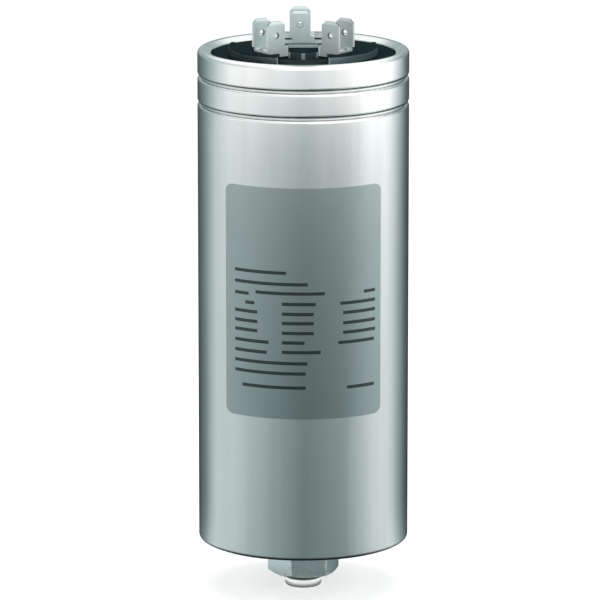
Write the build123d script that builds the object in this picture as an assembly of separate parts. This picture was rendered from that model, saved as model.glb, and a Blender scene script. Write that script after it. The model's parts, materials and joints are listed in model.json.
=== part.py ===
from build123d import *
import math
import os

# Three-phase power factor capacitor in an extruded aluminium can with a mounting stud
# millimetres, +Z up, the front with the rating label faces -Y
# origin: on the can's axis, in the flat underside that sits on the mounting panel

# can
can_radius = 31.75
can_wall = 0.9
can_base = 1.2
can_height = 150.5
base_corner = 1.2
base_inner_corner = 0.5

# rolled beads that grip the cover and the break-off plate, down from the rim's top
upper_bead_drop = 8.1
lower_bead_drop = 16.15
bead_depth = 0.9
bead_shoulder = 1.0
bead_root = 0.3
bead_flank = 60.0

# rim curled in over the cover
curl_radius = 1.47
curl_slope = 30.0
curl_reach = 4.2

# mounting stud, drawn from the same slug as the can
stud_radius = 5.9
stud_root = 0.35
pilot_radius = 5.5
pilot_round = 0.9
stud_length = 15.5

# nut and washer on the stud
nut_flats = 19.0
nut_height = 10.0
nut_turn = 9.8
nut_chamfer = 30.0
thread_clearance = 0.05
washer_outer = 10.25
washer_inner = 6.5
washer_height = 1.3
washer_sheet = 0.9
tooth_count = 12
tooth_depth = 1.9

# label
label_half_angle = 46.5
label_bottom = 43.8
label_height = 70.0
label_corner = 2.2
label_thickness = 0.12

# moulded cover
cover_wall_gap = 0.35
cover_seat_gap = 0.05
cover_skirt_wall = 4.2
cover_thickness = 3.6
cover_floor_drop = 1.55
cover_step_gap = 0.25
ring_groove_depth = 2.35
ring_floor_width = 5.0
platform_rise = 2.25
platform_end_angle = 167.5
post_radius = 0.75
post_rise = 0.35
post_inset = 0.85
channel_half = 7.5
channel_depth = 1.15
channel_front = 20.4
boss_across_flats = 8.9
boss_rise = 0.9
back_platform_rear = 16.6
edge_round = 0.7
top_round = 0.3

# rubber ring under the rim
ring_gap = 0.12

# double tab terminals
tab_width = 6.3
tab_sheet = 0.8
tab_pitch = 7.3
tab_height = 9.75
tab_tip_width = 3.7
tab_tip_height = 1.3
tab_bevel = 1.2
tab_bevel_depth = 0.22
tab_hole_radius = 0.9
tab_hole_drop = 4.3
tab_foot_width = 6.75
tab_foot_shift = 0.95
tab_shoulder = 2.1
tab_notch = 1.4
tab_bend = 0.5
hook_drop = 1.0
hook_width = 3.1
side_terminal_x = 10.33
side_terminal_y = -11.9
side_terminal_turn = 36.0
back_terminal_x = -0.95
back_terminal_y = 8.0

# plate and block under the back terminal
plate_half = 6.6
plate_depth = 6.0
plate_sheet = 0.6
block_height = 0.9
block_setback = 0.25
block_depth = 5.4

# rivets and lugs
rivet_radius = 1.6
rivet_clearance = 0.05
rivet_head_radius = 2.6
rivet_head = 0.9
rivet_flare_radius = 2.4
rivet_flare = 0.8
lug_radius = 3.2
lug_sheet = 0.5
plug_radius = 1.5
plug_head_radius = 1.9
plug_head = 0.25
crown_edge = 0.35

# windings, stacked on the axis between the can's base and the room for the leads
winding_count = 3
winding_gap = 0.8
head_room = 12.65
core_outer = 4.0
core_inner = 3.0
core_clearance = 0.05
pad_inset = 10.3
insulator_sheet = 1.5
insulator_pad = 0.4
sleeve_clearance = 0.35
sleeve_wall = 0.5
strip_space = 0.7
sleeve_foot_gap = 0.8
sleeve_lap = 4.3

# flat phase strips beside the windings, then notched leads up to the rivets
strip_width = 4.0
strip_sheet = 0.3
strip_gap = 0.15
tail_gap = 1.75
strip_play = 0.05
lead_radius = 0.8
lead_notch_radius = 0.5
lead_notch_drop = 3.0
lead_collar_radius = 1.8
lead_collar = 0.8
lead_hole_clearance = 0.3

# break-off plate
break_plate_sheet = 2.0
break_plate_gap = 0.45
vent_radius = 2.6
vent_count = 6
vent_inset = 8.4

# values that follow from the ones above
bore_radius = can_radius - can_wall
upper_bead_z = can_height - upper_bead_drop
lower_bead_z = can_height - lower_bead_drop
flank = math.radians(bead_flank)
bead_run = (bead_depth - (bead_root + bead_shoulder) * (1 - math.cos(flank))) / math.sin(flank)
bead_half = (bead_root + bead_shoulder) * math.sin(flank) + bead_run * math.cos(flank)
curl_z = can_height - curl_radius
curl_centre = can_radius - curl_radius
curl_mouth_radius = can_radius - curl_reach
rib_rest = math.sqrt((bead_root + can_wall) ** 2
                     - (can_radius - bead_depth + bead_root - bore_radius + cover_wall_gap) ** 2)
cover_bottom_z = upper_bead_z + rib_rest + cover_seat_gap
cover_radius = bore_radius - cover_wall_gap
cover_floor_z = can_height - cover_floor_drop
cover_under_z = cover_floor_z - cover_thickness
cover_step_radius = curl_mouth_radius - cover_step_gap
ring_groove_z = cover_floor_z - ring_groove_depth
platform_radius = cover_step_radius - ring_floor_width
platform_z = cover_floor_z + platform_rise
channel_floor_z = cover_floor_z - channel_depth
boss_z = cover_floor_z + boss_rise
boss_circum = boss_across_flats / 2 / math.cos(math.radians(30))
back_platform_front = boss_circum / 2
plate_bottom_z = boss_z + block_height
plate_top_z = plate_bottom_z + plate_sheet
plate_front = back_terminal_y - tab_pitch / 2 - tab_sheet / 2
sleeve_inner = bore_radius - sleeve_clearance - sleeve_wall
winding_radius = sleeve_inner - strip_space
pad_radius = winding_radius - pad_inset
stack_foot_z = can_base + insulator_sheet + insulator_pad
stack_top_z = lower_bead_z - head_room
winding_pitch = (stack_top_z - stack_foot_z + winding_gap) / winding_count
winding_height = winding_pitch - winding_gap
winding_feet = [stack_foot_z + i * winding_pitch for i in range(winding_count)]
sleeve_foot = can_base + sleeve_foot_gap
sleeve_top = stack_top_z + sleeve_lap
top_insulator_z = stack_top_z + insulator_pad
strip_shelf_z = top_insulator_z + insulator_sheet
strip_inner = winding_radius + strip_gap
strip_outer = strip_inner + strip_sheet
strip_reach = strip_outer - pad_radius - tail_gap
break_plate_radius = bore_radius - break_plate_gap
vent_circle = break_plate_radius - vent_inset
break_rest = math.sqrt((bead_root + can_wall) ** 2
                       - (can_radius - bead_depth + bead_root - bore_radius + break_plate_gap) ** 2)
break_plate_z = lower_bead_z + break_rest + cover_seat_gap
lug_bottom_z = cover_under_z - lug_sheet
rivet_end_z = lug_bottom_z - rivet_flare
terminal_spots = [(-side_terminal_x, side_terminal_y), (side_terminal_x, side_terminal_y),
                  (back_terminal_x, back_terminal_y)]


def at(r, z):
    return Vector(r, 0, z)


def arc(cr, cz, radius, start, end):
    pts = []
    for angle in (start, (start + end) / 2, end):
        a = math.radians(angle)
        pts.append(at(cr + radius * math.cos(a), cz + radius * math.sin(a)))
    return Edge.make_three_point_arc(*pts)


def spun(edges):
    # joins the free ends of the edges with straight lines, then spins the section
    chain = []
    for i, edge in enumerate(edges):
        chain.append(edge)
        gap_from = edge @ 1
        gap_to = edges[(i + 1) % len(edges)] @ 0
        if (gap_to - gap_from).length > 1e-6:
            chain.append(Edge.make_line(gap_from, gap_to))
    return revolve(Face(Wire(chain)), Axis.Z)


def line(r1, z1, r2, z2):
    return Edge.make_line(at(r1, z1), at(r2, z2))


def dome(radius, foot_z, height):
    # shallow crown from the edge to the axis, its centre on the axis
    rise = height * (1 - crown_edge)
    sphere = (radius ** 2 + rise ** 2) / (2 * rise)
    start = math.degrees(math.asin((sphere - rise) / sphere))
    return arc(0, foot_z + height - sphere, sphere, start, 90)


def bead(z, inset, upward):
    # one rolled bead: shoulder, flank, root, flank, shoulder; inset moves it in by the wall
    sr = bead_shoulder - inset
    rr = bead_root + inset
    sc = can_radius - bead_shoulder
    rc = can_radius - bead_depth + bead_root
    t = bead_flank
    if upward:
        return [arc(sc, z - bead_half, sr, 0, t), arc(rc, z, rr, 180 + t, 180 - t),
                arc(sc, z + bead_half, sr, -t, 0)]
    return [arc(sc, z + bead_half, sr, 0, -t), arc(rc, z, rr, 180 - t, 180 + t),
            arc(sc, z - bead_half, sr, t, 0)]


def can():
    end = 90 + curl_slope
    s = math.radians(curl_slope)
    tip_r = curl_centre + curl_radius * math.cos(math.radians(end))
    tip_z = curl_z + curl_radius * math.sin(math.radians(end))
    mouth_z = tip_z - (tip_r - curl_mouth_radius) * math.tan(s)
    under_r = curl_mouth_radius + can_wall * math.sin(s)
    under_z = mouth_z - can_wall * math.cos(s)
    lip = 0.22
    edges = [line(0, -stud_length, pilot_radius - pilot_round, -stud_length),
             arc(pilot_radius - pilot_round, pilot_round - stud_length, pilot_round, -90, 0),
             line(pilot_radius, -washer_height - nut_height - 0.2,
                  stud_radius, -washer_height - nut_height + stud_radius - pilot_radius - 0.2),
             arc(stud_radius + stud_root, -stud_root, stud_root, 180, 90),
             arc(can_radius - base_corner, base_corner, base_corner, -90, 0)]
    edges += bead(lower_bead_z, 0, True) + bead(upper_bead_z, 0, True)
    edges += [arc(curl_centre, curl_z, curl_radius, 0, end),
              line(curl_mouth_radius + lip * math.cos(s), mouth_z + lip * math.sin(s),
                   curl_mouth_radius + lip * math.sin(s), mouth_z - lip * math.cos(s)),
              line(under_r, under_z, under_r, under_z + 1e-3),
              arc(curl_centre, curl_z, curl_radius - can_wall, end, 0)]
    edges[-2] = Edge.make_line(at(under_r - 1e-3 * math.sin(s), under_z + 1e-3 * math.cos(s)),
                               at(under_r, under_z))
    edges += bead(upper_bead_z, can_wall, False) + bead(lower_bead_z, can_wall, False)
    edges += [arc(bore_radius - base_inner_corner, can_base + base_inner_corner,
                  base_inner_corner, 0, -90),
              line(0, can_base, 0, -stud_length)]
    return spun(edges)


def rating_label():
    sleeve = Cylinder(can_radius + label_thickness, label_height) - Cylinder(can_radius, label_height)
    reach = can_radius + label_thickness
    width = 2 * can_radius * math.sin(math.radians(label_half_angle))
    mask = extrude(Plane.XZ * RectangleRounded(width, label_height, label_corner), reach * 1.2)
    return Pos(0, 0, label_bottom + label_height / 2) * (sleeve & mask)


def prism(sketch, z0, z1):
    return Pos(0, 0, z0) * extrude(sketch, z1 - z0)


def rounded_top(solid, z):
    rim = solid.edges().filter_by_position(Axis.Z, z - 1e-4, z + 1e-4)
    return fillet(rim, top_round)


def side_platform():
    a = math.radians(platform_end_angle)
    far = platform_radius * 2
    sector = Polygon((-channel_half, -far), (-channel_half, -channel_half * math.tan(a)),
                     (far * math.cos(a), far * math.sin(a)), (-far, -far), align=None)
    outline = Circle(platform_radius) & sector
    outline = fillet(outline.vertices(), edge_round)
    platform = rounded_top(prism(outline, cover_under_z + 1, platform_z), platform_z)
    # small post that stands up at the outer end
    middle = platform_radius - post_inset
    turn = a + math.asin(post_inset / middle)
    x, y = middle * math.cos(turn), middle * math.sin(turn)
    post = Cylinder(post_radius, platform_rise + post_rise, align=(Align.CENTER, Align.CENTER, Align.MIN))
    return platform + Pos(x, y, cover_floor_z) * post


def terminal_deck():
    section = [line(0, cover_under_z, cover_radius - cover_skirt_wall, cover_under_z),
               line(cover_radius - cover_skirt_wall, cover_bottom_z, cover_radius, cover_bottom_z),
               line(cover_radius, ring_groove_z, cover_step_radius, ring_groove_z),
               line(cover_step_radius, cover_floor_z, 0, cover_floor_z)]
    section.append(line(0, cover_floor_z, 0, cover_under_z))
    deck = spun(section)
    drill = 4 * cover_thickness
    depth = channel_front + back_platform_front
    pocket = Rectangle(2 * channel_half, depth)
    pocket = Pos(0, back_platform_front - depth / 2) * pocket
    deck -= prism(pocket, channel_floor_z, cover_floor_z + 1)
    left = side_platform()
    deck += left
    deck += mirror(left, about=Plane.YZ)
    rear = back_platform_rear - back_platform_front
    back = Pos(0, back_platform_front + rear / 2) * RectangleRounded(2 * channel_half, rear, edge_round)
    deck += rounded_top(prism(back, cover_under_z + 1, boss_z), boss_z)
    boss = RegularPolygon(boss_circum, 6, rotation=30)
    boss = fillet(boss.vertices(), edge_round)
    deck += rounded_top(prism(boss, channel_floor_z - 1, boss_z), boss_z)
    for x, y in terminal_spots:
        deck -= Pos(x, y, boss_z) * Cylinder(rivet_radius + rivet_clearance, drill)
    deck -= Pos(0, 0, boss_z) * Cylinder(plug_radius + rivet_clearance, drill)
    return deck


def sealing_ring():
    s = math.radians(curl_slope)
    inner = cover_step_radius
    outer = cover_radius
    knee_r = curl_centre - (curl_radius - can_wall) * math.sin(s)
    knee_z = curl_z + (curl_radius - can_wall) * math.cos(s) - ring_gap / math.cos(s)
    low_r = curl_mouth_radius + can_wall * math.sin(s)
    low_z = knee_z - (knee_r - low_r) * math.tan(s)
    edges = [line(inner, ring_groove_z, outer, ring_groove_z),
             line(outer, curl_z, knee_r, knee_z),
             line(low_r, low_z, inner, low_z),
             line(inner, low_z, inner, ring_groove_z)]
    return spun(edges)


def blade(height, hooked):
    # one flat tab, drawn in the XZ plane with its foot bottom at z = 0
    half = tab_width / 2
    foot_l = tab_foot_shift - tab_foot_width / 2
    foot_r = tab_foot_shift + tab_foot_width / 2
    tip = tab_tip_width / 2
    outline = [(foot_l, 0), (foot_l, tab_notch), (-half, tab_notch), (-half, height - tab_tip_height),
               (-tip, height), (tip, height), (half, height - tab_tip_height), (half, tab_shoulder),
               (foot_r, tab_shoulder)]
    if hooked:
        outline += [(foot_r, -hook_drop), (foot_r - hook_width, -hook_drop), (foot_r - hook_width, 0)]
    else:
        outline += [(foot_r, 0)]
    sheet = extrude(Plane.XZ * Polygon(*outline, align=None), tab_sheet / 2, both=True)
    # both faces taper to the tip so that a receptacle slides on
    for side in (1, -1):
        y0 = side * tab_sheet / 2
        wedge = Polygon((y0, height - tab_bevel), (y0, height + 1), (y0 - side * tab_bevel_depth
                        * (1 + 1 / tab_bevel), height + 1), align=None)
        sheet -= extrude(Plane.YZ * wedge, tab_width, both=True)
    sheet -= Pos(0, 0, height - tab_hole_drop) * Rot(90, 0, 0) * Cylinder(tab_hole_radius, 3)
    return sheet


def double_tab(hooked=False):
    front = Pos(0, -tab_pitch / 2, 0) * blade(tab_height, hooked)
    rear = Pos(0, tab_pitch / 2, 0) * blade(tab_height, False)
    # the web between the tabs, bent up at both ends
    span = tab_pitch + tab_sheet
    web = Box(tab_foot_width, span, tab_sheet, align=(Align.CENTER, Align.CENTER, Align.MIN))
    body = front + rear + Pos(tab_foot_shift, 0, 0) * web
    corners = [e for e in body.edges().filter_by(Axis.X)
               if abs(e.center().Z - tab_sheet) < 1e-3 and abs(abs(e.center().Y)
                                                              - tab_pitch / 2 + tab_sheet / 2) < 1e-3]
    body = fillet(corners, tab_bend)
    body -= Pos(0, 0, tab_sheet / 2) * Cylinder(rivet_radius + rivet_clearance, 3)
    return body


def terminal_left():
    # turned towards the middle; the front tab hooks down over the platform's end
    turn = Rot(0, 0, side_terminal_turn)
    return Pos(-side_terminal_x, side_terminal_y, platform_z) * turn * double_tab(hooked=True)


def terminal_right():
    return mirror(terminal_left(), about=Plane.YZ)


def terminal_back():
    return Pos(back_terminal_x, back_terminal_y, plate_top_z) * double_tab()


def contact_plate():
    y0 = plate_front
    plate = Box(2 * plate_half, plate_depth, plate_sheet,
                align=(Align.CENTER, Align.MIN, Align.MIN))
    plate = fillet(plate.edges().filter_by(Axis.Z), 0.4)
    plate = Pos(0, y0, plate_bottom_z) * plate
    hole = Cylinder(rivet_radius + rivet_clearance, 3)
    return plate - Pos(back_terminal_x, back_terminal_y, plate_bottom_z) * hole


def contact_block():
    block = Box(boss_across_flats, block_depth, block_height,
                align=(Align.CENTER, Align.MIN, Align.MIN))
    block = Pos(0, plate_front - block_setback, boss_z) * block
    hole = Cylinder(rivet_radius + rivet_clearance, 3)
    return block - Pos(back_terminal_x, back_terminal_y, boss_z) * hole


def rivet(seat_z):
    # domed head on the web, shank through the cover, flared under the lug
    edges = [line(0, rivet_end_z, rivet_flare_radius, rivet_end_z),
             line(rivet_flare_radius, lug_bottom_z, rivet_radius, lug_bottom_z),
             line(rivet_radius, seat_z, rivet_head_radius, seat_z),
             dome(rivet_head_radius, seat_z, rivet_head),
             line(0, seat_z + rivet_head, 0, rivet_end_z)]
    return spun(edges)


def lug():
    return Cylinder(lug_radius, lug_sheet) - Cylinder(rivet_radius + rivet_clearance, lug_sheet)


def fill_plug():
    edges = [line(0, cover_under_z, plug_radius, cover_under_z),
             line(plug_radius, boss_z, plug_head_radius, boss_z),
             dome(plug_head_radius, boss_z, plug_head),
             line(0, boss_z + plug_head, 0, cover_under_z)]
    return spun(edges)


def hex_nut():
    nut = extrude(RegularPolygon(nut_flats / 2, 6, major_radius=False, rotation=nut_turn), nut_height)
    corner = nut_flats / 2 / math.cos(math.radians(30))
    drop = (corner - nut_flats * 0.475) * math.tan(math.radians(nut_chamfer))
    lens = spun([line(0, 0, nut_flats * 0.475, 0), line(corner, drop, corner, nut_height - drop),
                 line(nut_flats * 0.475, nut_height, 0, nut_height), line(0, nut_height, 0, 0)])
    nut = nut & lens
    nut -= Pos(0, 0, nut_height / 2) * Cylinder(stud_radius + thread_clearance, nut_height * 2)
    mouth = spun([line(0, 0, stud_radius + 0.7, 0), line(stud_radius, 0.7, 0, 0.7),
                  line(0, 0.7, 0, 0)])
    nut -= mouth
    nut -= Pos(0, 0, nut_height) * mirror(mouth, about=Plane.XY)
    return Pos(0, 0, -washer_height - nut_height) * nut


def toothed_washer():
    # external teeth, each one twisted out of the sheet
    ring = Cylinder(washer_outer - tooth_depth, washer_sheet) - Cylinder(washer_inner, washer_sheet)
    tooth = Box(tooth_depth + 0.4, 2.7, washer_sheet * 0.78)
    mid = washer_outer - tooth_depth / 2 - 0.2
    for i in range(tooth_count):
        place = Rot(0, 0, i * 360 / tooth_count) * Pos(mid, 0, 0) * Rot(12, 0, 0)
        ring += place * tooth
    return Pos(0, 0, -washer_height / 2) * ring


def bottom_insulator():
    disc = Pos(0, 0, can_base + insulator_sheet / 2) * Cylinder(winding_radius, insulator_sheet)
    pad = Pos(0, 0, stack_foot_z - insulator_pad / 2) * Cylinder(pad_radius, insulator_pad)
    return disc + pad


def top_insulator():
    disc = Pos(0, 0, top_insulator_z + insulator_sheet / 2) * Cylinder(winding_radius, insulator_sheet)
    pad = Pos(0, 0, stack_top_z + insulator_pad / 2) * Cylinder(pad_radius, insulator_pad)
    return disc + pad


def insulating_sleeve():
    height = sleeve_top - sleeve_foot
    tube = Cylinder(sleeve_inner + sleeve_wall, height) - Cylinder(sleeve_inner, height)
    return Pos(0, 0, sleeve_foot + height / 2) * tube


def winding(index):
    roll = Cylinder(winding_radius, winding_height) - Cylinder(core_outer + core_clearance, winding_height)
    return Pos(0, 0, winding_feet[index] + winding_height / 2) * roll


def winding_cores():
    tube = Cylinder(core_outer, winding_height) - Cylinder(core_inner, winding_height)
    return [Pos(0, 0, z + winding_height / 2) * tube for z in winding_feet]


def winding_spacers():
    disc = Cylinder(pad_radius, winding_gap)
    return [Pos(0, 0, z - winding_gap / 2) * disc for z in winding_feet[1:]]


def phase_strip(spot, low_z, joins):
    # runs up beside the stack, with a flat tail on each joined end face and one to its lead
    x, y = terminal_spots[spot]
    angle = math.degrees(math.atan2(y, x))
    reach = strip_outer - math.hypot(x, y) + strip_width / 2
    low = (Align.MAX, Align.CENTER, Align.MIN)
    strip = Pos(strip_outer, 0, low_z) * Box(strip_sheet, strip_width,
                                             strip_shelf_z + strip_sheet - low_z, align=low)
    strip += Pos(strip_outer, 0, strip_shelf_z) * Box(reach, strip_width, strip_sheet, align=low)
    for z in joins:
        strip += Pos(strip_outer, 0, z) * Box(strip_reach, strip_width, strip_sheet, align=low)
    return Rot(0, 0, angle) * strip


def break_off_leads():
    foot = strip_shelf_z + strip_sheet
    notch_z = rivet_end_z - lead_notch_drop
    w = lead_radius - lead_notch_radius
    edges = [line(0, foot, lead_radius, foot),
             line(lead_radius, break_plate_z - lead_collar, lead_collar_radius, break_plate_z - lead_collar),
             line(lead_collar_radius, break_plate_z, lead_radius, break_plate_z),
             line(lead_radius, notch_z - w, lead_notch_radius, notch_z),
             line(lead_radius, notch_z + w, lead_radius, rivet_end_z),
             line(0, rivet_end_z, 0, foot)]
    lead = spun(edges)
    return [Pos(x, y, 0) * lead for x, y in terminal_spots]


def break_off_plate():
    plate = Cylinder(break_plate_radius, break_plate_sheet)
    for i in range(vent_count):
        a = math.radians(360 * i / vent_count)
        plate -= Pos(vent_circle * math.cos(a), vent_circle * math.sin(a), 0) * Cylinder(vent_radius, 5)
    for x, y in terminal_spots:
        plate -= Pos(x, y, 0) * Cylinder(lead_radius + lead_hole_clearance, 5)
    return Pos(0, 0, break_plate_z + break_plate_sheet / 2) * plate


def group(solids):
    return Compound(children=list(solids))


lower_join = winding_feet[1] - winding_gap / 2 - strip_sheet / 2
upper_join = winding_feet[2] - winding_gap / 2 - strip_sheet / 2
foot_join = stack_foot_z - strip_sheet - strip_play
head_join = stack_top_z + strip_play

parts = {
    "can": can(),
    "rating_label": rating_label(),
    "terminal_deck": terminal_deck(),
    "sealing_ring": sealing_ring(),
    "fill_plug": fill_plug(),
    "terminal_left": terminal_left(),
    "terminal_right": terminal_right(),
    "terminal_back": terminal_back(),
    "contact_plate": contact_plate(),
    "contact_block": contact_block(),
    "side_rivets": group(Pos(x, y, 0) * rivet(platform_z + tab_sheet) for x, y in terminal_spots[:2]),
    "back_rivet": Pos(back_terminal_x, back_terminal_y, 0) * rivet(plate_top_z + tab_sheet),
    "inner_lugs": group(Pos(x, y, cover_under_z - lug_sheet / 2) * lug() for x, y in terminal_spots),
    "hex_nut": hex_nut(),
    "toothed_washer": toothed_washer(),
    "bottom_insulator": bottom_insulator(),
    "top_insulator": top_insulator(),
    "insulating_sleeve": insulating_sleeve(),
    "winding_lower": winding(0),
    "winding_middle": winding(1),
    "winding_upper": winding(2),
    "winding_cores": group(winding_cores()),
    "winding_spacers": group(winding_spacers()),
    "phase_strip_left": phase_strip(0, lower_join, [lower_join]),
    "phase_strip_right": phase_strip(1, upper_join, [upper_join]),
    "phase_strip_back": phase_strip(2, foot_join, [foot_join, head_join]),
    "break_off_leads": group(break_off_leads()),
    "break_off_plate": break_off_plate(),
}

os.makedirs("parts", exist_ok=True)
for name, shape in parts.items():
    export_step(shape, "parts/" + name + ".step")
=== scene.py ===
import json
import math
import bmesh
import bpy
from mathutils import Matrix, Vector


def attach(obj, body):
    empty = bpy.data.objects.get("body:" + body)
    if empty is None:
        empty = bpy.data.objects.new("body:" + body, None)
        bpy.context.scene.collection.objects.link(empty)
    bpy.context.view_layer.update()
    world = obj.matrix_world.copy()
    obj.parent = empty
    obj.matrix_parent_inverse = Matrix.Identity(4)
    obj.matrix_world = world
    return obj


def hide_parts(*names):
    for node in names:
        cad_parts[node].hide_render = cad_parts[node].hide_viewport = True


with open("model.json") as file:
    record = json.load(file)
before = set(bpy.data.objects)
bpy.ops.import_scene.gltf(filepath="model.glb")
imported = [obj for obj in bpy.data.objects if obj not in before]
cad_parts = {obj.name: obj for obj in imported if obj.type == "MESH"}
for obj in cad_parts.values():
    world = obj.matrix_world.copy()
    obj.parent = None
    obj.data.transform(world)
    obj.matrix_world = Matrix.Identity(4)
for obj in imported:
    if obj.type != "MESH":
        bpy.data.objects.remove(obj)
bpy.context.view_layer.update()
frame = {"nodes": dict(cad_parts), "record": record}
print("frame loaded:", len(frame["nodes"]), "parts of the capacitor")


# shader helpers: sockets that do arithmetic, and one method for every node

class Plug:
    def __init__(self, shade, socket):
        self.shade = shade
        self.socket = socket

    def maths(self, operation, first, second=None):
        values = {0: first}
        if second is not None:
            values[1] = second
        return self.shade.node("ShaderNodeMath", {"operation": operation}, values)

    def __add__(self, other):
        return self.maths("ADD", self, other)

    __radd__ = __add__

    def __sub__(self, other):
        return self.maths("SUBTRACT", self, other)

    def __rsub__(self, other):
        return self.maths("SUBTRACT", other, self)

    def __mul__(self, other):
        return self.maths("MULTIPLY", self, other)

    __rmul__ = __mul__

    def __truediv__(self, other):
        return self.maths("DIVIDE", self, other)

    def __rtruediv__(self, other):
        return self.maths("DIVIDE", other, self)

    def __gt__(self, other):
        return self.maths("GREATER_THAN", self, other)

    def __lt__(self, other):
        return self.maths("LESS_THAN", self, other)

    def __abs__(self):
        return self.maths("ABSOLUTE", self)

    def atLeast(self, other):
        return self.maths("MAXIMUM", self, other)

    def atMost(self, other):
        return self.maths("MINIMUM", self, other)

    def power(self, exponent):
        return self.maths("POWER", self, exponent)

    def sine(self):
        return self.maths("SINE", self)

    def exponential(self):
        return self.maths("EXPONENT", self)

    def angleTo(self, other):
        return self.maths("ARCTAN2", self, other)


class Shade:
    def __init__(self, name, world=False):
        self.owner = (bpy.data.worlds if world else bpy.data.materials).new(name)
        self.owner.use_nodes = True
        self.tree = self.owner.node_tree
        self.tree.nodes.clear()
        self.output = "ShaderNodeOutputWorld" if world else "ShaderNodeOutputMaterial"
        self.place = None

    # makes a node: its settings first, then the values or links of its sockets
    def node(self, kind, settings=None, sockets=None, out=0):
        made = self.tree.nodes.new(kind)
        for key, value in (settings or {}).items():
            if key == "stops":
                ramp = made.color_ramp
                while len(ramp.elements) < len(value):
                    ramp.elements.new(0.5)
                for spot, (where, tone) in zip(ramp.elements, value):
                    spot.position = where
                    grey = isinstance(tone, (int, float))
                    spot.color = (tone, tone, tone, 1) if grey else (*tone, 1)
            else:
                setattr(made, key, value)
        for key, value in (sockets or {}).items():
            if isinstance(value, Plug):
                self.tree.links.new(value.socket, made.inputs[key])
            else:
                made.inputs[key].default_value = value
        return Plug(self, made.outputs[out]) if made.outputs else None

    def surface(self, **values):
        sockets = {key.replace("_", " "): value for key, value in values.items()}
        return self.shown(self.node("ShaderNodeBsdfPrincipled", {}, sockets))

    def shown(self, shader):
        self.node(self.output, {}, {"Surface": shader})
        return self.owner

    # where a point is on the part, in metres, and which way its surface faces
    def position(self):
        if self.place is None:
            self.place = self.node("ShaderNodeTexCoord", {}, {}, "Object")
        return self.place

    def parted(self, vector):
        split = self.node("ShaderNodeSeparateXYZ", {}, {0: vector}).socket.node
        return [Plug(self, split.outputs[i]) for i in range(3)]

    def axes(self):
        return self.parted(self.position())

    def facing(self):
        return self.parted(Plug(self, self.position().socket.node.outputs["Normal"]))

    def stretch(self, x, y, z):
        return self.node("ShaderNodeVectorMath", {"operation": "MULTIPLY"},
                         {0: self.position(), 1: (x, y, z)})

    def cloud(self, where, scale=1.0, detail=3.0, roughness=0.5):
        return self.node("ShaderNodeTexNoise", {},
                         {"Vector": where, "Scale": scale, "Detail": detail, "Roughness": roughness})

    def between(self, value, low, high, newLow=0.0, newHigh=1.0):
        return self.node("ShaderNodeMapRange", {"clamp": True},
                         {0: value, 1: low, 2: high, 3: newLow, 4: newHigh})

    def blend(self, factor, first, second, how="MIX"):
        def tint(value):
            return value if isinstance(value, Plug) else (*value, 1)
        return self.node("ShaderNodeMix", {"data_type": "RGBA", "blend_type": how},
                         {0: factor, 6: tint(first), 7: tint(second)}, 2)

    def scaled(self, colour, factor):
        return self.node("ShaderNodeVectorMath", {"operation": "SCALE"}, {0: colour, "Scale": factor})

    def relief(self, height, depth, strength=1.0, below=None):
        sockets = {"Height": height, "Distance": depth, "Strength": strength}
        if below is not None:
            sockets["Normal"] = below
        return self.node("ShaderNodeBump", {}, sockets)

    # distance from the part's own axis, from any point, and from any upright line
    def radius(self):
        x, y = self.axes()[:2]
        return (x * x + y * y).power(0.5)

    def radiusFrom(self, x, y, z):
        return self.node("ShaderNodeVectorMath", {"operation": "DISTANCE"},
                         {0: self.position(), 1: (x, y, z)}, "Value")

    def fromLine(self, x, y, lineX, lineY):
        flat = self.node("ShaderNodeCombineXYZ", {}, {0: x, 1: y, 2: 0})
        return self.node("ShaderNodeVectorMath", {"operation": "DISTANCE"},
                         {0: flat, 1: (lineX, lineY, 0)}, "Value")

    # angle round the part's axis, from the front towards the right
    def azimuth(self):
        x, y = self.axes()[:2]
        return x.angleTo(y * -1)

    # 1 for the view and for what glossy and clear surfaces show, 0 for the light on the part
    def seen(self):
        view = self.node("ShaderNodeLightPath", {}, {}, "Is Camera Ray")
        rays = view.socket.node.outputs
        glossy = view.atLeast(Plug(self, rays["Is Glossy Ray"]))
        return glossy.atLeast(Plug(self, rays["Is Transmission Ray"]))


def shaded(colour, share):
    return tuple(c * share for c in colour)


# finishes

canLook = {
    "metal": (0.785, 0.80, 0.795),
    "shadeMetal": (0.715, 0.735, 0.728),    # the same metal in its duller streaks
    "roughness": 0.22,
    "drawLines": 0.000004,      # depth of the fine lines that drawing leaves along the can
    "rollLines": 0.000006,      # depth of the lines that the rollers leave round the beads
    "rollFrom": (0.1325, 0.1340),       # the rollers' lines come in between these heights
    "baseTurned": (0.0004, 0.0012),     # and the turned lines of the underside fade out here
    # colour of the painted shade in the bead grooves, round the foot and under the nut
    "paintedShadeTone": (0.008, 0.016, 0.017),
    "paintedShadeLevel": 0.03,               # how much of the metal's tone is left in the painted shade lines
    "ragged": 0.0002,           # how uneven their edges are
    "beadShadeHeights": (0.14302, 0.13497),    # heights of the painted shade lines under the beads' upper shoulders
    "beadShadeHalf": 0.00024,        # half the height of such a line
    "footShadeLine": 0.0011,         # height of the painted shade line round the foot's corner
    "footRadius": 0.0302,       # it is outside this radius only
    "studShadow": (-0.0130, -0.0127),     # the painted shadow under the nut ends between these heights
}


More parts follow.
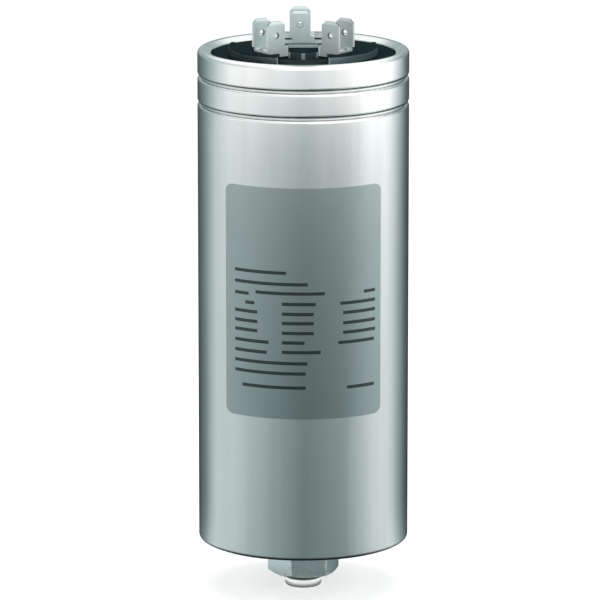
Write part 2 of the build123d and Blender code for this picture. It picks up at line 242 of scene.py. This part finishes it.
def canMetal():
    s = Shade("satinDrawnAluminium")
    z = s.axes()[2]
    lines = s.cloud(s.stretch(1, 1, 0.012), 5200, 2)        # along the can
    rings = s.cloud(s.stretch(0.02, 0.02, 1), 4200, 2)      # round it
    around = s.between(z, *canLook["rollFrom"]).atLeast(s.between(z, *canLook["baseTurned"], 1, 0))
    broad = s.cloud(s.stretch(1, 1, 0.03), 260, 3)
    smudge = s.cloud(s.stretch(1, 1, 0.5), 60, 4, 0.6)
    mottle = s.cloud(s.position(), 900, 3, 0.6)
    tone = s.between(broad * 0.6 + smudge * 0.4, 0.35, 0.65)
    colour = s.blend(tone, canLook["shadeMetal"], canLook["metal"])
    # painted shade where the rollers pressed the beads in and round the foot's corner, and a painted
    # shadow under the nut
    ragged = (s.cloud(s.stretch(0.3, 0.3, 1), 900, 3) - 0.5) * canLook["ragged"]
    unshaded = 1
    paintedShadeLevel = canLook["paintedShadeLevel"]
    half = canLook["beadShadeHalf"]
    for height in canLook["beadShadeHeights"]:
        unshaded = s.between(abs(z - height) + ragged, half * 0.6, half * 1.5, paintedShadeLevel, 1) * unshaded
    outside = (s.radius() > canLook["footRadius"]) * (z > -0.0001)
    foot = s.between(z, canLook["footShadeLine"] * 0.65, canLook["footShadeLine"] * 1.2, paintedShadeLevel, 1)
    unshaded = unshaded * (1 - outside * (1 - foot))
    unshaded = unshaded * s.between(z, *canLook["studShadow"], 1, paintedShadeLevel).atLeast(z > -0.001)
    colour = s.blend(unshaded, canLook["paintedShadeTone"], colour)
    dull = canLook["roughness"] + (smudge - 0.5) * 0.10 + (mottle - 0.5) * 0.05 + (lines - 0.5) * 0.05
    lengthways = s.relief((1 - around) * lines, canLook["drawLines"])
    crossways = s.relief(around * rings, canLook["rollLines"], 1.0, lengthways)
    return s.surface(Base_Color=colour, Metallic=1.0, Roughness=dull, Normal=crossways)


labelLook = {
    "film": (0.385, 0.435, 0.435),
    "ink": (0.030, 0.040, 0.040),
    "roughness": 0.33,
    "radius": 31.87,            # of the film's outside, in mm
    "inkCover": 0.88,           # how much of the film the ink hides
    "barHeight": 1.0,
    "bleed": 0.12,              # how uneven the bars' edges are, in mm
    # plain bars: left and right end round the can, and height, in mm
    "bars": [(-22, -5.1, 88.2), (-22, 1.3, 84.8), (-22, -17, 81.3), (-14.7, 6.4, 82),
             (19.1, 23.4, 81.7), (-18.2, -15.1, 78.6), (-6.4, 3.7, 78.8),
             (11.2, 23.4, 78.8), (-22, -14.1, 75.9), (-6.4, 3.1, 75.8), (12.1, 23.4, 75.9),
             (-22, -14.1, 73), (-6.4, 3.1, 73), (12.1, 23.4, 72.8), (-22, -14.1, 70.2),
             (-6.4, 3.1, 70), (12.1, 23.4, 69.9), (-22, -10.5, 67), (-6.4, 0.4, 67.1),
             (10.6, 23, 66.9), (-22, -11.1, 63.9), (-6.4, 5.2, 64.2), (-22, 1.2, 60.8),
             (-22, 0.7, 57.7), (-19.3, 0.7, 53.4), (13.4, 23, 53.1)],
}


def labelFilm():
    s = Shade("greyLabelFilm")
    fine = s.cloud(s.position(), 5200, 2)
    soft = s.cloud(s.position(), 120, 3)
    duller, brighter = shaded(labelLook["film"], 0.985), shaded(labelLook["film"], 1.015)
    film = s.blend(s.between(soft, 0.3, 0.7), duller, brighter)
    # where a point is on the film, in mm
    bleed = (fine - 0.5) * labelLook["bleed"]
    across = s.azimuth() * labelLook["radius"] + bleed
    up = s.axes()[2] * 1000 + bleed
    inked = 0
    for left, right, height in labelLook["bars"]:
        wide = abs(across - (left + right) / 2) < (right - left) / 2
        high = abs(up - height) < labelLook["barHeight"] / 2
        inked = wide * high + inked
    inked = inked.atMost(1) * labelLook["inkCover"]
    colour = s.blend(inked, film, labelLook["ink"])
    dull = labelLook["roughness"] + (fine - 0.5) * 0.08 + inked * 0.12
    return s.surface(Base_Color=colour, Metallic=1.0, Roughness=dull,
                     Normal=s.relief(fine, 0.000004, 0.6))


coverLook = {
    "black": (0.0045, 0.0125, 0.0142),
    "greyer": (0.0070, 0.0170, 0.0190),
    # painted light and shade on the upright faces across the cover in mm: darker at both ends, lighter
    # towards the channel, and lighter on the right than on the left
    "paintedWallShading": [(-21, 0.043), (-13, 0.048), (-7.6, 0.110), (-7.2, 0.115), (7.2, 0.115), (7.6, 0.270),
              (13, 0.145), (21, 0.080)],
    "wallTint": (0.70, 1.07, 1.10),         # red, green and blue of those tones
    "channel": (0.030, 0.045, 0.048),       # floor of the sunk channel, and where that floor is
    "channelHalf": 0.0073,
    "channelFrom": -0.0048,
    "channelTop": 0.1485,
    # colour of the painted highlights on the upright corners
    "cornerGlintTone": (0.60, 0.68, 0.68),
    "roughness": 0.42,
    "grain": 0.000006,
    "shine": 0.002,             # next to nothing, or the level faces turn grey at a low view
    "wallGloss": 0.9,           # gloss of the upright faces, which the mould polishes
    "glossRoughness": 0.22,
    "glossFade": (0.0085, 0.0175),          # it falls between these distances from the middle
    "glossLeft": 0.2,           # to this share of it
    # upright corners with a painted highlight, across and along in mm
    "corners": [(0, -4.95), (4.3, -2.5), (7.25, -20.7)],
    "cornerReach": (0.000396, 0.00072),     # painted highlight fully within the first, not at all past the second
}


def coverPlastic(name="blackMouldedCover", share=1.0):
    s = Shade(name)
    x, y, z = s.axes()
    upright = 1 - abs(s.facing()[2]) * 1.6      # 1 on upright faces, below 0 on level ones
    spark = s.cloud(s.position(), 3400, 4, 0.65)
    flow = s.cloud(s.position(), 140, 3, 0.55)
    black, greyer = shaded(coverLook["black"], share), shaded(coverLook["greyer"], share)
    colour = s.blend(s.between(flow, 0.3, 0.7), black, greyer)
    sunk = (abs(x) < coverLook["channelHalf"]) * (y < coverLook["channelFrom"])
    colour = s.blend(sunk * (z < coverLook["channelTop"]), colour, coverLook["channel"])
    # the upright faces: painted light and shade in a ramp that runs across the cover, 50 mm from end
    # to end
    tint = coverLook["wallTint"]
    stops = [(where / 50 + 0.5, shaded(tint, tone)) for where, tone in coverLook["paintedWallShading"]]
    wall = s.node("ShaderNodeValToRGB", {"stops": stops}, {0: x * 20 + 0.5})
    wall = s.scaled(wall, s.between(spark * 0.5 + flow * 0.5, 0.3, 0.7, 0.92, 1.08))
    onWall = s.between(upright, 0.2, 0.6)
    colour = s.blend(onWall, colour, wall)
    # painted highlights along the upright corners
    paintedGlint = 0
    for across, along in coverLook["corners"]:
        off = s.fromLine(abs(x), y, across / 1000, along / 1000)
        paintedGlint = s.between(off, *coverLook["cornerReach"], 1, 0) + paintedGlint
    colour = s.blend(paintedGlint.atMost(1) * onWall, colour, coverLook["cornerGlintTone"])
    dull = coverLook["roughness"] + (flow - 0.5) * 0.12 + (spark - 0.5) * 0.12
    gloss = upright.atLeast(0) * s.between(abs(x), *coverLook["glossFade"], 1, coverLook["glossLeft"])
    return s.surface(Base_Color=colour, Roughness=dull, Specular_IOR_Level=coverLook["shine"],
                     Coat_Weight=gloss * coverLook["wallGloss"], Coat_IOR=1.65,
                     Coat_Roughness=coverLook["glossRoughness"],
                     Normal=s.relief(spark, coverLook["grain"], 0.5))


rubberLook = {
    "black": (0.0095, 0.0135, 0.0145),
    "dusty": (0.018, 0.023, 0.024),
    "roughness": 0.62,
    "shine": 0.002,
    "grain": 0.00001,
}


def sealRubber():
    s = Shade("softBlackRubber")
    dust = s.cloud(s.position(), 1500, 4, 0.7)
    colour = s.blend(s.between(dust, 0.4, 0.75), rubberLook["black"], rubberLook["dusty"])
    dull = rubberLook["roughness"] + (dust - 0.5) * 0.2
    return s.surface(Base_Color=colour, Roughness=dull, Specular_IOR_Level=rubberLook["shine"],
                     Normal=s.relief(dust, rubberLook["grain"], 0.6))


tabLook = {
    "metal": (0.695, 0.795, 0.792),
    "shade": (0.645, 0.745, 0.742),
    "cutEdgeHighlight": (0.80, 0.86, 0.86),      # painted highlight on the cut edges
    "coined": (0.80, 0.90, 0.90),       # the bevels at the tips
    "tipShade": (0.05, 0.06, 0.06),     # painted shade on the narrow ends between the bevels
    # painted shade on the holes' walls
    "holeShade": (0.09, 0.11, 0.11),
    "paintedLightShares": (0.94, 1.10, 0.75),       # painted light and shade: tone of the left, the back and the right terminal
    "roughness": 0.50,
    "metallic": 0.40,
    "rollMarks": 0.000003,
    "sideFrom": 0.005,          # the side terminals are further out than this
    "sideTurn": 36,             # and turned by this, in degrees
    "sideSpot": (0.01033, 0.0119),      # middle of a side terminal: out, and towards the front
    "backSpot": 0.00095,        # how far left of the middle the back terminal stands
    "tipsFrom": 0.1565,         # upward faces above this are the blades' ends
    "bevelsFrom": (0.15985, 0.15998),   # the tips' bevels start between these heights
    "holeZ": 0.15668,           # height of the side terminals' holes
    "backLift": 0.00014,        # how much higher the back terminal's are
    "holeRadius": 0.00098,
}

# the plate and the block under the back terminal
plateLook = {
    "metal": (0.650, 0.780, 0.780),
    "shade": (0.610, 0.735, 0.735),
    "roughness": 0.52,
    "metallic": 0.22,
    "rollMarks": 0.00000045,
    "underside": 0.15078,       # the plate is above this height, the block below
    "front": 0.46,              # painted shade: how much of the tone is left on the plate's front edge
    "top": 0.60,                # and, as painted shade too, on its top
}

rivetLook = {
    "metal": (0.70, 0.71, 0.70),
    "shade": (0.58, 0.60, 0.595),
    "roughness": 0.25,
    "rollMarks": 0.000003,
}


# rolled and plated sheet: its colour, its roughness and the height of its marks
def platedSheet(s, look):
    rolled = s.cloud(s.stretch(1, 1, 0.05), 5200, 2)
    patch = s.cloud(s.position(), 420, 4, 0.6)
    colour = s.blend(s.between(patch, 0.32, 0.68), look["shade"], look["metal"])
    dull = look["roughness"] + (patch - 0.5) * 0.10 + (rolled - 0.5) * 0.05
    return colour, dull, rolled + patch * 0.6


def tabTin():
    s = Shade("dullTinPlate")
    colour, dull, marks = platedSheet(s, tabLook)
    x, y, z = s.axes()
    nx, ny, nz = s.facing()
    # 1 on the left terminal, -1 on the right one, 0 on the back one
    side = (x < -tabLook["sideFrom"]) - (x > tabLook["sideFrom"])
    aside = abs(side)
    turn = math.radians(tabLook["sideTurn"])
    # the sheared edges are bare metal, and a painted highlight makes them brighter than the plated
    # faces
    lengthways = abs(nx * (1 - aside * (1 - math.cos(turn))) + ny * side * math.sin(turn))
    bareEdgeAndHighlight = s.between(lengthways, 0.80, 0.95)
    colour = s.blend(bareEdgeAndHighlight, colour, tabLook["cutEdgeHighlight"])
    # the lead-in bevels at the tips are coined smooth
    coined = s.between(z, *tabLook["bevelsFrom"]) * (abs(nz) > 0.08)
    colour = s.blend(coined, colour, tabLook["coined"])
    # painted light and shade: each terminal gets its own tone
    left, back, right = tabLook["paintedLightShares"]
    share = back + side * ((left - right) / 2) + aside * ((left + right) / 2 - back)
    colour = s.scaled(colour, share)
    # painted shade: the upward narrow ends at the blades' tips are dark
    tips = s.between(nz, 0.5, 0.75) * (z > tabLook["tipsFrom"])
    colour = s.blend(tips, colour, tabLook["tipShade"])
    # painted shade on the holes' walls
    out, forward = tabLook["sideSpot"]
    fromSpot = x + side * out + (1 - aside) * tabLook["backSpot"]
    across = fromSpot * (1 - aside * (1 - math.cos(turn))) + (y + forward) * side * math.sin(turn)
    up = z - tabLook["holeZ"] - (1 - aside) * tabLook["backLift"]
    inHole = (across * across + up * up).power(0.5) < tabLook["holeRadius"]
    colour = s.blend(inHole, colour, tabLook["holeShade"])
    dull = dull - bareEdgeAndHighlight * 0.1 - coined * 0.15
    return s.surface(Base_Color=colour, Metallic=tabLook["metallic"], Roughness=dull,
                     Normal=s.relief(marks, tabLook["rollMarks"], 0.6))


def plateTin():
    s = Shade("tinPlatedSheet")
    colour, dull, marks = platedSheet(s, plateLook)
    ny, nz = s.facing()[1:]
    onPlate = s.axes()[2] > plateLook["underside"]
    # painted shade on the plate's front edge and on the upward faces
    front = s.between(ny, -0.8, -0.6, 1, 0) * onPlate * (1 - plateLook["front"])
    top = s.between(nz, 0.6, 0.8) * (1 - plateLook["top"])
    return s.surface(Base_Color=s.scaled(colour, 1 - front - top), Metallic=plateLook["metallic"],
                     Roughness=dull, Normal=s.relief(marks, plateLook["rollMarks"], 0.6))


def plainPlated(name, look):
    s = Shade(name)
    colour, dull, marks = platedSheet(s, look)
    return s.surface(Base_Color=colour, Metallic=1.0, Roughness=dull,
                     Normal=s.relief(marks, look["rollMarks"], 0.6))


nutLook = {
    "zinc": (0.84, 0.91, 0.91),
    "shade": (0.74, 0.81, 0.81),
    "roughness": 0.30,
    "turnMarks": 0.000003,
    "firstCorner": 39.8,        # in degrees from the front towards the right
    "cornerReach": 0.01097,     # from the axis to a corner
    "highlightReach": (0.00026, 0.00042),   # painted highlight fully within the first, not at all past the second
    # colour of the painted highlights on the corners
    "paintedHighlight": (0.85, 0.92, 0.92),
    "lowerEdgeShade": 0.35,          # painted shade: how much of the tone is left on the lower edge
}

washerLook = {
    "share": 0.64,              # its tone, as a share of the nut's
    "roughness": 0.34,
}


def zincPlate(name, share, roughness, nut=False):
    s = Shade(name)
    turned = s.cloud(s.stretch(0.6, 0.6, 1), 2600, 3, 0.6)
    bloom = s.cloud(s.position(), 520, 4, 0.65)
    shade, zinc = shaded(nutLook["shade"], share), shaded(nutLook["zinc"], share)
    colour = s.blend(s.between(bloom, 0.3, 0.7), shade, zinc)
    metallic = 1.0
    if nut:
        # painted highlights in patches on the six corners, and painted shade on the lower edge
        x, y = s.axes()[:2]
        nz = s.facing()[2]
        reach = nutLook["cornerReach"]
        paintedHighlight = 0
        for k in range(6):
            a = math.radians(nutLook["firstCorner"] + 60 * k - 90)
            off = s.fromLine(x, y, reach * math.cos(a), reach * math.sin(a))
            paintedHighlight = s.between(off, *nutLook["highlightReach"], 1, 0) + paintedHighlight
        paintedHighlight = paintedHighlight.atMost(1) * (bloom > 0.42)
        under = s.between(nz, -0.5, -0.1, nutLook["lowerEdgeShade"], 1).atLeast(nz < -0.95)
        colour = s.scaled(s.blend(paintedHighlight, colour, nutLook["paintedHighlight"]), under)
        metallic = 1 - paintedHighlight * 0.85
    return s.surface(Base_Color=colour, Metallic=metallic, Roughness=roughness + (bloom - 0.5) * 0.2,
                     Normal=s.relief(turned + bloom * 0.5, nutLook["turnMarks"], 0.2))


# finishes of what the closed can hides

insideLook = {
    "board": ((0.42, 0.31, 0.19), (0.60, 0.47, 0.31)),
    "wrap": ((0.70, 0.71, 0.66), (0.80, 0.81, 0.77)),
    "wound": ((0.46, 0.47, 0.47), (0.68, 0.69, 0.68)),
    "natural": ((0.66, 0.62, 0.52), (0.78, 0.75, 0.66)),
}

stripLook = {
    "metal": (0.70, 0.60, 0.50),
    "shade": (0.58, 0.47, 0.38),
    "roughness": 0.3,
    "rollMarks": 0.000003,
}


def pressedBoard():
    s = Shade("pressedBoard")
    fibre = s.cloud(s.stretch(1, 0.2, 1), 1600, 5, 0.7)
    colour = s.blend(s.between(fibre, 0.3, 0.7), *insideLook["board"])
    return s.surface(Base_Color=colour, Roughness=0.8 + (fibre - 0.5) * 0.2,
                     Normal=s.relief(fibre, 0.00003, 0.8))


def wrapFilm():
    s = Shade("clearWrapFilm")
    ripple = s.cloud(s.stretch(1, 1, 0.1), 300, 3)
    colour = s.blend(ripple, *insideLook["wrap"])
    return s.surface(Base_Color=colour, Roughness=0.22 + ripple * 0.1,
                     Normal=s.relief(ripple, 0.00005, 0.5))


def woundFilm():
    s = Shade("woundMetallisedFilm")
    turns = (s.radius() * 9000).sine()      # rings 0.7 mm apart
    edges = s.cloud(s.stretch(0.02, 0.02, 1), 5000, 2)
    sprayed = s.cloud(s.position(), 2200, 5, 0.75)
    colour = s.blend(s.between(sprayed, 0.3, 0.7), *insideLook["wound"])
    return s.surface(Base_Color=colour, Metallic=0.85, Roughness=0.42 + (sprayed - 0.5) * 0.3,
                     Normal=s.relief(turns * 0.3 + edges + sprayed, 0.00002, 0.7))


def naturalPlastic():
    s = Shade("naturalMouldedPlastic")
    flow = s.cloud(s.position(), 400, 3)
    colour = s.blend(flow, *insideLook["natural"])
    return s.surface(Base_Color=colour, Roughness=0.4 + (flow - 0.5) * 0.2,
                     Normal=s.relief(flow, 0.00002, 0.4))


finishes = {
    "can_metal": canMetal(),
    "label_film": labelFilm(),
    "cover_plastic": coverPlastic(),
    "seal_rubber": sealRubber(),
    "plug_plastic": coverPlastic("blackPlugPlastic", 1.5),
    "tab_metal": tabTin(),
    "plate_metal": plateTin(),
    "rivet_metal": plainPlated("tinPlatedRivet", rivetLook),
    "nut_metal": zincPlate("brightZincPlate", 1.0, nutLook["roughness"], True),
    "washer_metal": zincPlate("zincWasher", washerLook["share"], washerLook["roughness"]),
    "insulator_board": pressedBoard(),
    "sleeve_film": wrapFilm(),
    "film_roll": woundFilm(),
    "core_plastic": naturalPlastic(),
    "strip_metal": plainPlated("tinnedCopperStrip", stripLook),
}
slotOf = {row["node"]: row["material_slot"] for row in frame["record"]["subparts"]}
for name, thing in frame["nodes"].items():
    thing.data.materials.clear()
    thing.data.materials.append(finishes[slotOf[name]])
print("finishes made:", len(finishes))


# pieces that stand for stamped and machined parts, with their small edge rounds

# edge round in metres, how sharp a corner has to be to get one, and how many steps it has
edgeRounds = {
    "terminal_left": (0.00009, 30, 2),
    "terminal_right": (0.00009, 30, 2),
    "terminal_back": (0.00009, 30, 2),
    "contact_plate": (0.00010, 30, 2),
    "contact_block": (0.00016, 30, 3),
    "hex_nut": (0.00032, 24, 3),
    "toothed_washer": (0.00008, 30, 2),
}


def softEdged(node):
    width, angle, steps = edgeRounds[node]
    source = frame["nodes"][node]
    mesh = bmesh.new()
    mesh.from_mesh(source.data)
    bmesh.ops.remove_doubles(mesh, verts=mesh.verts, dist=1e-6)
    bmesh.ops.dissolve_limit(mesh, angle_limit=math.radians(1), verts=mesh.verts, edges=mesh.edges)
    least = math.radians(angle)
    sharp = [e for e in mesh.edges if len(e.link_faces) == 2 and e.calc_face_angle(0) > least]
    bmesh.ops.bevel(mesh, geom=sharp, offset=width, offset_type="OFFSET", segments=steps,
                    profile=0.5, affect="EDGES", clamp_overlap=True)
    for face in mesh.faces:
        face.smooth = True
    data = bpy.data.meshes.new(node + "Edged")
    mesh.to_mesh(data)
    mesh.free()
    piece = bpy.data.objects.new(node + "Edged", data)
    bpy.context.scene.collection.objects.link(piece)
    data.materials.append(finishes[slotOf[node]])
    weighted = piece.modifiers.new("evenShading", "WEIGHTED_NORMAL")
    weighted.weight = 100
    weighted.keep_sharp = True
    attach(piece, "root")
    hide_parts(node)
    return piece


for node in edgeRounds:
    softEdged(node)
print("soft-edged pieces made:", len(edgeRounds))


# floor, light tent, lamps and camera

studio = {
    "floorZ": -0.0155,          # the stud's end stands on it
    "floorHalf": 3.0,
    "floorTone": (0.93, 0.93, 0.93),
    "floorLift": 0.50,          # how much brighter the view sees it
    "worldTone": (0.80, 0.81, 0.81),    # the room's light on the part
    "worldStrength": 0.45,
}


def floorMaterial():
    s = Shade("paleStudioFloor")
    grain = s.cloud(s.position(), 40, 3)
    colour = s.blend(grain, shaded(studio["floorTone"], 0.995), studio["floorTone"])
    cloth = s.node("ShaderNodeBsdfPrincipled", {},
                   {"Base Color": colour, "Roughness": 0.8, "Specular IOR Level": 0.0})
    # the view, glossy and clear surfaces see it lifted to white, shadow and all
    lift = s.node("ShaderNodeEmission", {},
                  {"Color": (1, 1, 1, 1), "Strength": s.seen() * studio["floorLift"]})
    both = s.node("ShaderNodeAddShader", {}, {0: cloth, 1: lift})
    # clear from below, so that the part's underside can be looked at
    below = s.node("ShaderNodeNewGeometry", {}, {}, "Backfacing")
    clear = s.node("ShaderNodeBsdfTransparent")
    return s.shown(s.node("ShaderNodeMixShader", {}, {0: below, 1: both, 2: clear}))


def addObject(name, data):
    thing = bpy.data.objects.new(name, data)
    bpy.context.scene.collection.objects.link(thing)
    return thing


def makeFloor():
    half = studio["floorHalf"]
    z = studio["floorZ"]
    data = bpy.data.meshes.new("studioFloor")
    corners = [(-half, -half, z), (half, -half, z), (half, half, z), (-half, half, z)]
    data.from_pydata(corners, [], [(0, 1, 2, 3)])
    data.materials.append(floorMaterial())
    addObject("studioFloor", data)


makeFloor()

# the domed light tent round the part
tent = {
    "radius": 0.13,
    "wallTop": 0.19,
    "domeTop": 0.33,
    "domeSteps": 12,            # steps of the mesh up the dome, and round it
    "around": 96,
    # brightness round the wall, from the back over the left, the front and the right to the back
    "upper": [(-180, 0.50), (-155, 0.50), (-130, 0.44), (-112, 0.58), (-90, 0.80), (-45, 1.02),
              (0, 1.40), (45, 1.50), (90, 1.28), (112, 0.58), (130, 0.34), (155, 0.45), (180, 0.52)],
    "high": [(-180, 0.34), (-168, 0.08), (-160, 0.07), (-140, 0.14), (-120, 0.31), (-100, 0.68),
             (-75, 1.34), (-45, 1.25), (0, 0.99), (40, 1.25), (70, 1.86), (95, 1.72), (115, 0.82),
             (130, 0.22), (145, 0.07), (160, 0.01), (168, 0.06), (180, 0.34)],
    "low": [(-180, 0.26), (-168, 0.05), (-160, 0.01), (-140, 0.09), (-120, 0.26), (-100, 0.78),
            (-75, 0.66), (-45, 0.46), (0, 0.17), (40, 0.28), (70, 0.69), (95, 0.85), (115, 0.36),
            (130, 0.13), (145, 0.05), (160, 0.01), (168, 0.05), (180, 0.26)],
    "fadeFrom": 0.130,          # the high brightness falls to the low one below this height,
    "fadeShort": 0.012,         # half of it over the first distance and half over the second
    "fadeLong": 0.070,
    "upperFrom": (0.140, 0.160),        # and the upper one takes over between these
    "ceiling": 1.35,
    "ceilingFrom": (0.01, 0.05),        # the ceiling takes over this far above the wall's top
    "gap": 0.22,                # brightness between the two ceiling panels, behind the middle
    "gapHalf": 0.09,            # half that gap's width, as a share of the distance from the part's top
    "gapFrom": 0.15,            # height of that top
    "footDisc": 0.06,           # radius of the disc under the part
    "darkTint": 0.66,           # how much red is left where the cloth is dark, so it looks cooler
    # brightness round the stud's foot, by distance in metres, and how much of the wall's shows there
    "footGlow": [(0.0, 0.22), (0.009, 0.25), (0.0105, 1.3), (0.016, 1.3), (0.019, 0.0), (0.06, 0.0)],
    "footShare": [(0.0, 0.0), (0.019, 0.10), (0.03, 0.75), (0.045, 1.0), (0.06, 1.0)],
}


# the cloth's colour at a brightness: white where it is bright, cooler where it is dark
def clothTone(level):
    red = tent["darkTint"] + (1 - tent["darkTint"]) * min(1, 0.8 * level) ** 0.9
    return (level * red, level, level)


def tentMaterial():
    s = Shade("lightTentFabric")
    x, y, z = s.axes()
    turn = s.azimuth() / (2 * math.pi) + 0.5
    levels = {}
    for band in ("upper", "high", "low"):
        stops = [((angle + 180) / 360, clothTone(level)) for angle, level in tent[band]]
        levels[band] = s.node("ShaderNodeValToRGB", {"stops": stops}, {0: turn})
    under = (z - tent["fadeFrom"]).atMost(0)
    drop = ((under / tent["fadeShort"]).exponential() + (under / tent["fadeLong"]).exponential()) * 0.5
    wall = s.blend(drop, levels["low"], levels["high"])
    wall = s.blend(s.between(z, *tent["upperFrom"]), wall, levels["upper"])
    aside = abs(x) / s.radiusFrom(0, 0, tent["gapFrom"])
    behind = s.between(y, -0.02, 0.0)
    panel = s.between(aside, tent["gapHalf"] * 0.6, tent["gapHalf"] * 1.6).atLeast(1 - behind)
    ceiling = s.blend(panel, clothTone(tent["gap"]), clothTone(tent["ceiling"]))
    low, high = tent["ceilingFrom"]
    glow = s.blend(s.between(z, tent["wallTop"] + low, tent["wallTop"] + high), wall, ceiling)
    # the foot disc: dim under the nut, and a bright ring that lights the stud's end
    reach = s.radius() / tent["footDisc"]
    parts = {}
    for part in ("footGlow", "footShare"):
        stops = [(where / tent["footDisc"], level) for where, level in tent[part]]
        parts[part] = s.node("ShaderNodeValToRGB", {"stops": stops}, {0: reach})
    disc = s.blend(1.0, s.blend(1.0, glow, parts["footShare"], "MULTIPLY"), parts["footGlow"], "ADD")
    glow = s.blend(s.between(z, studio["floorZ"] + 0.0005, studio["floorZ"] + 0.001), disc, glow)
    return s.shown(s.node("ShaderNodeEmission", {}, {"Color": glow, "Strength": 1.0}))


def makeTent():
    foot = studio["floorZ"] + 0.0002
    wide, top = tent["radius"], tent["wallTop"]
    rings = [(0.001, foot), (0.01, foot), (0.03, foot), (tent["footDisc"], foot),
             (wide, foot), (wide, top * 0.5), (wide, top)]
    rise = tent["domeTop"] - top
    for i in range(1, tent["domeSteps"] + 1):
        a = math.radians(i * 90 / tent["domeSteps"])
        rings.append((wide * math.cos(a), top + rise * math.sin(a)))
    around = tent["around"]
    points, faces = [], []
    for r, z in rings:
        for k in range(around):
            a = 2 * math.pi * k / around
            points.append((r * math.cos(a), r * math.sin(a), z))
    for j in range(len(rings) - 1):
        for k in range(around):
            n = (k + 1) % around
            faces.append((j * around + k, j * around + n, (j + 1) * around + n, (j + 1) * around + k))
    data = bpy.data.meshes.new("lightTent")
    data.from_pydata(points, [], faces)
    data.materials.append(tentMaterial())
    cloth = addObject("lightTent", data)
    # only the gloss of the part sees the tent: the lamps and the view pass through it
    cloth.visible_camera = False
    cloth.visible_diffuse = False
    cloth.visible_shadow = False
    cloth.visible_transmission = False
    cloth.visible_volume_scatter = False


makeTent()

# name, where, aimed at, width, height and brightness
lamps = [
    ("sideLeft", (-1.1, -0.25, 0.65), (0, 0, 0.09), 0.9, 0.9, 2.2),
    ("sideRight", (1.1, -0.15, 0.65), (0, 0, 0.09), 0.9, 0.9, 2.4),
    ("overhead", (0, -0.1, 1.3), (0, 0, 0.1), 1.2, 1.0, 1.4),
]


def makeLamp(name, where, target, width, height, brightness):
    lamp = bpy.data.lights.new(name, "AREA")
    lamp.shape = "RECTANGLE"
    lamp.size = width
    lamp.size_y = height
    lamp.energy = brightness * math.pi * width * height
    holder = addObject(name, lamp)
    holder.location = where
    holder.rotation_euler = (Vector(target) - Vector(where)).to_track_quat("-Z", "Y").to_euler()
    holder.visible_glossy = False       # the gloss sees the tent instead


for row in lamps:
    makeLamp(*row)


# the view, glossy and clear surfaces see a white room, and the part is lit by a dimmer one
def makeWorld():
    s = Shade("studioWorld", world=True)
    dim = s.node("ShaderNodeBackground", {},
                 {"Color": (*studio["worldTone"], 1), "Strength": studio["worldStrength"]})
    white = s.node("ShaderNodeBackground", {}, {"Color": (1, 1, 1, 1), "Strength": 1.0})
    both = s.node("ShaderNodeMixShader", {}, {0: s.seen(), 1: dim, 2: white})
    bpy.context.scene.world = s.shown(both)


makeWorld()

# the photograph's own viewpoint: 12 degrees above the can's middle, 1.66 m away
viewpoint = {
    "where": (0, -1.6245, 0.42665),
    "target": (0, 0, 0.07330),
    "lens": 330.13,
    "sensor": 36,
    "shift": -3.29 / 600,       # the part stands a little to the right of the picture's middle
}
camera = bpy.data.cameras.new("photoCamera")
camera.lens = viewpoint["lens"]
camera.sensor_width = viewpoint["sensor"]
camera.shift_x = viewpoint["shift"]
camera.clip_start = 0.05
camera.clip_end = 20
cameraHolder = bpy.data.objects.new("photoCamera", camera)
cameraHolder.location = viewpoint["where"]
aim = Vector(viewpoint["target"]) - Vector(viewpoint["where"])
cameraHolder.rotation_euler = aim.to_track_quat("-Z", "Y").to_euler()
bpy.context.scene.collection.objects.link(cameraHolder)
bpy.context.scene.camera = cameraHolder
bpy.context.scene.view_settings.view_transform = "Standard"
print("floor, tent, lamps, world and camera set")
